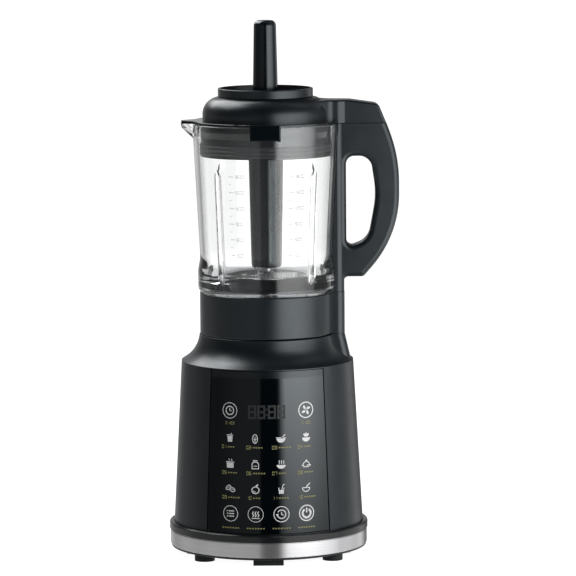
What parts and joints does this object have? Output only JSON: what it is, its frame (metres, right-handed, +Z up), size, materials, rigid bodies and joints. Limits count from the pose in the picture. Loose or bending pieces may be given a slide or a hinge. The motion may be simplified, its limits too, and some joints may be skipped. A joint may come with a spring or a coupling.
{
  "type": "heating countertop blender",
  "caption": "Countertop blender that also heats: round motor base with curved touch panel, lift-off glass jar with handle, heated floor and blades, domed lid and tamper.",
  "frame": {"origin": "on the worktop, under the drive axis", "axes": "+Z up along the drive axis, +X towards the jar handle, -Y towards the user, out of the control panel"},
  "size_m": [0.232, 0.199, 0.5324],
  "materials": {
    "gloss_black": "polished black moulding",
    "panel_black": "hard gloss touch panel with printed symbols",
    "satin_black": "satin black moulding",
    "band_steel": "brushed stainless band",
    "steel": "turned and pressed stainless steel",
    "zinc_steel": "zinc plated fasteners",
    "rubber_black": "moulded black rubber",
    "seal_grey": "grey silicone",
    "clear_glass": "thick clear glass",
    "board_green": "circuit board laminate",
    "copper": "enamelled copper",
    "contact_brass": "plated contacts",
    "cast_alloy": "die-cast bracket",
    "core_iron": "stacked steel laminations",
    "element_steel": "sheathed tubular element",
    "carbon": "carbon brush"
  },
  "bodies": {
    "base": {"round_feet": "rubber_black", "front_foot": "rubber_black", "base_plate": "satin_black", "base_screws": "zinc_steel", "trim_ring": "band_steel", "base_shell": "gloss_black", "control_panel": "panel_black", "panel_board": "board_green", "display_module": "satin_black", "shoulder_cover": "gloss_black", "base_socket": "satin_black", "socket_contacts": "contact_brass", "motor_dampers": "rubber_black", "mount_screws": "zinc_steel", "motor_upper_bracket": "cast_alloy", "motor_lower_bracket": "cast_alloy", "motor_stator": "core_iron", "stator_coils": "copper", "motor_bolts": "zinc_steel", "motor_bearings": "steel", "brush_holders": "satin_black", "carbon_brushes": "carbon", "fan_shroud": "satin_black", "power_inlet": "satin_black", "inlet_pins": "contact_brass", "power_board": "board_green"},
    "rotor": {"rotor_shaft": "steel", "rotor_core": "core_iron", "rotor_windings": "copper", "commutator": "copper", "cooling_fan": "satin_black", "drive_coupling": "satin_black"},
    "jar": {"jar_collar": "satin_black", "jar_bottom_cover": "satin_black", "cover_screws": "zinc_steel", "jar_plug": "satin_black", "heating_plate": "steel", "plate_seal": "seal_grey", "heating_element": "element_steel", "temperature_probe": "steel", "blade_housing": "steel", "housing_nut": "steel", "blade_bearings": "steel", "shaft_seal": "rubber_black", "glass_jar": "clear_glass", "jar_handle": "satin_black", "handle_screws": "zinc_steel", "lid_switch": "satin_black"},
    "blades": {"blade_shaft": "steel", "lower_blade": "steel", "upper_blade": "steel", "blade_nut": "steel", "jar_coupling": "satin_black"},
    "lid": {"lid_skirt": "gloss_black", "lid_seal": "seal_grey", "lid_cover": "gloss_black", "lid_magnet": "zinc_steel", "feed_collar": "satin_black"},
    "tamper": {"tamper": "satin_black"}
  },
  "joints": [
    {"name": "rotor_spin", "type": "hinge", "parent": "base", "child": "rotor", "pos_m": [0, 0, 0.1], "axis": [0, 0, 1], "continuous": true},
    {"name": "jar_lift", "type": "slide", "parent": "base", "child": "jar", "axis": [0, 0, 1], "range_m": [0, 0.15]},
    {"name": "blade_spin", "type": "hinge", "parent": "jar", "child": "blades", "pos_m": [0, 0, 0.27], "axis": [0, 0, 1], "continuous": true},
    {"name": "lid_lift", "type": "slide", "parent": "jar", "child": "lid", "axis": [0, 0, 1], "range_m": [0, 0.17]},
    {"name": "tamper_lift", "type": "slide", "parent": "lid", "child": "tamper", "axis": [0, 0, 1], "range_m": [0, 0.2]}
  ],
  "couplings": [
    {"joint": "blade_spin", "follows": "rotor_spin", "ratio": 1}
  ]
}
